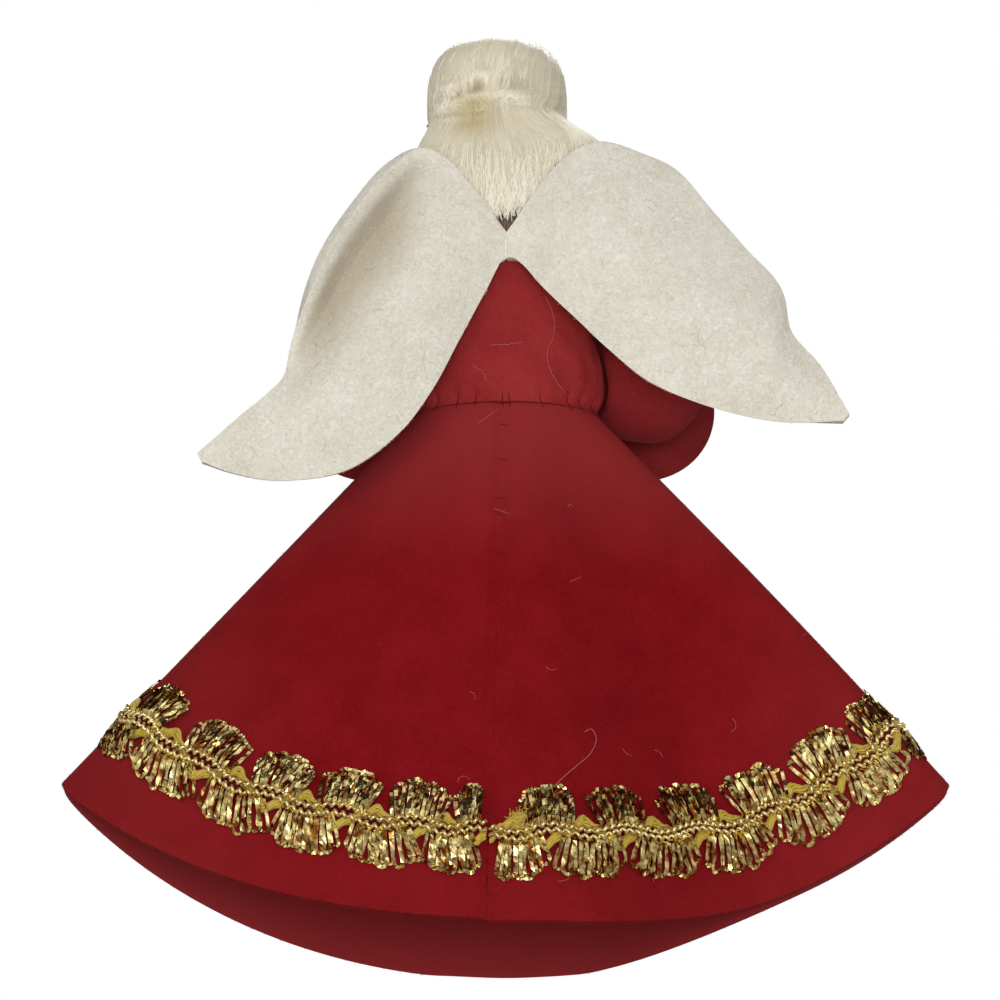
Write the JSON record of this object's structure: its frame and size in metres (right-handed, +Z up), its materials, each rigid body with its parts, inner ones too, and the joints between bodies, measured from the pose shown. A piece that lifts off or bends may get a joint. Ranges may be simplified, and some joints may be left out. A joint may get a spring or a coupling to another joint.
{
  "type": "felt angel figurine",
  "caption": "Small standing angel of sewn felt: a lapped red cone skirt with gold braid, stuffed bodice and sleeves, white felt wings, floss hair and a wooden head.",
  "frame": {"origin": "middle of the figure's box on the surface it stands on", "axes": "+Z up through the head, the face looks along -Y, the wings and the lapped seam are on the +Y side"},
  "size_m": [0.1182, 0.0482, 0.1247],
  "materials": {
    "red_felt": "pressed wool felt, matt with short fuzz",
    "white_felt": "pressed wool felt, matt with loose curled fibres",
    "silk_floss": "glossy pale floss in fine strands",
    "gold_braid": "metallic gold tinsel loops",
    "gold_cord": "yellow plied cord wrapped in gold",
    "cotton_filling": "loose cotton",
    "painted_wood": "flesh-coloured paint, satin",
    "peg_wood": "bare dowel",
    "skin_felt": "flesh-coloured felt, matt",
    "sewing_thread": "plain sewing thread"
  },
  "bodies": {
    "figure": {"skirt": "red_felt", "hem_braid_ribbon": "gold_braid", "hem_gimp_cord": "gold_cord", "bodice": "red_felt", "torso_filling": "cotton_filling", "neck_peg": "peg_wood", "head_bead": "painted_wood", "hair_cap": "silk_floss", "hair_fall": "silk_floss", "hair_tack_thread": "sewing_thread", "wing_centre_web": "white_felt", "wing_tack_stitch": "sewing_thread", "shoulder_thread_left": "sewing_thread", "shoulder_thread_right": "sewing_thread"},
    "left_wing": {"wing_left": "white_felt"},
    "right_wing": {"wing_right": "white_felt"},
    "left_arm": {"sleeve_left": "red_felt", "arm_filling_left": "cotton_filling", "hand_left": "skin_felt"},
    "right_arm": {"sleeve_right": "red_felt", "arm_filling_right": "cotton_filling", "hand_right": "skin_felt"}
  },
  "joints": [
    {"name": "left_wing_bend", "type": "hinge", "parent": "figure", "child": "left_wing", "pos_m": [0.001, 0.01413, 0.0925], "axis": [0, 0, 1], "range_deg": [0, 60], "stiffness_Nm_per_rad": 0.0015},
    {"name": "right_wing_bend", "type": "hinge", "parent": "figure", "child": "right_wing", "pos_m": [-0.001, 0.01413, 0.0925], "axis": [0, 0, -1], "range_deg": [0, 60], "stiffness_Nm_per_rad": 0.0015},
    {"name": "left_arm_swing", "type": "hinge", "parent": "figure", "child": "left_arm", "pos_m": [0.0127, 0.00414, 0.0934], "axis": [-1, 0, 0], "range_deg": [-10, 45]},
    {"name": "right_arm_swing", "type": "hinge", "parent": "figure", "child": "right_arm", "pos_m": [-0.0127, 0.00414, 0.0934], "axis": [-1, 0, 0], "range_deg": [-10, 45]}
  ]
}
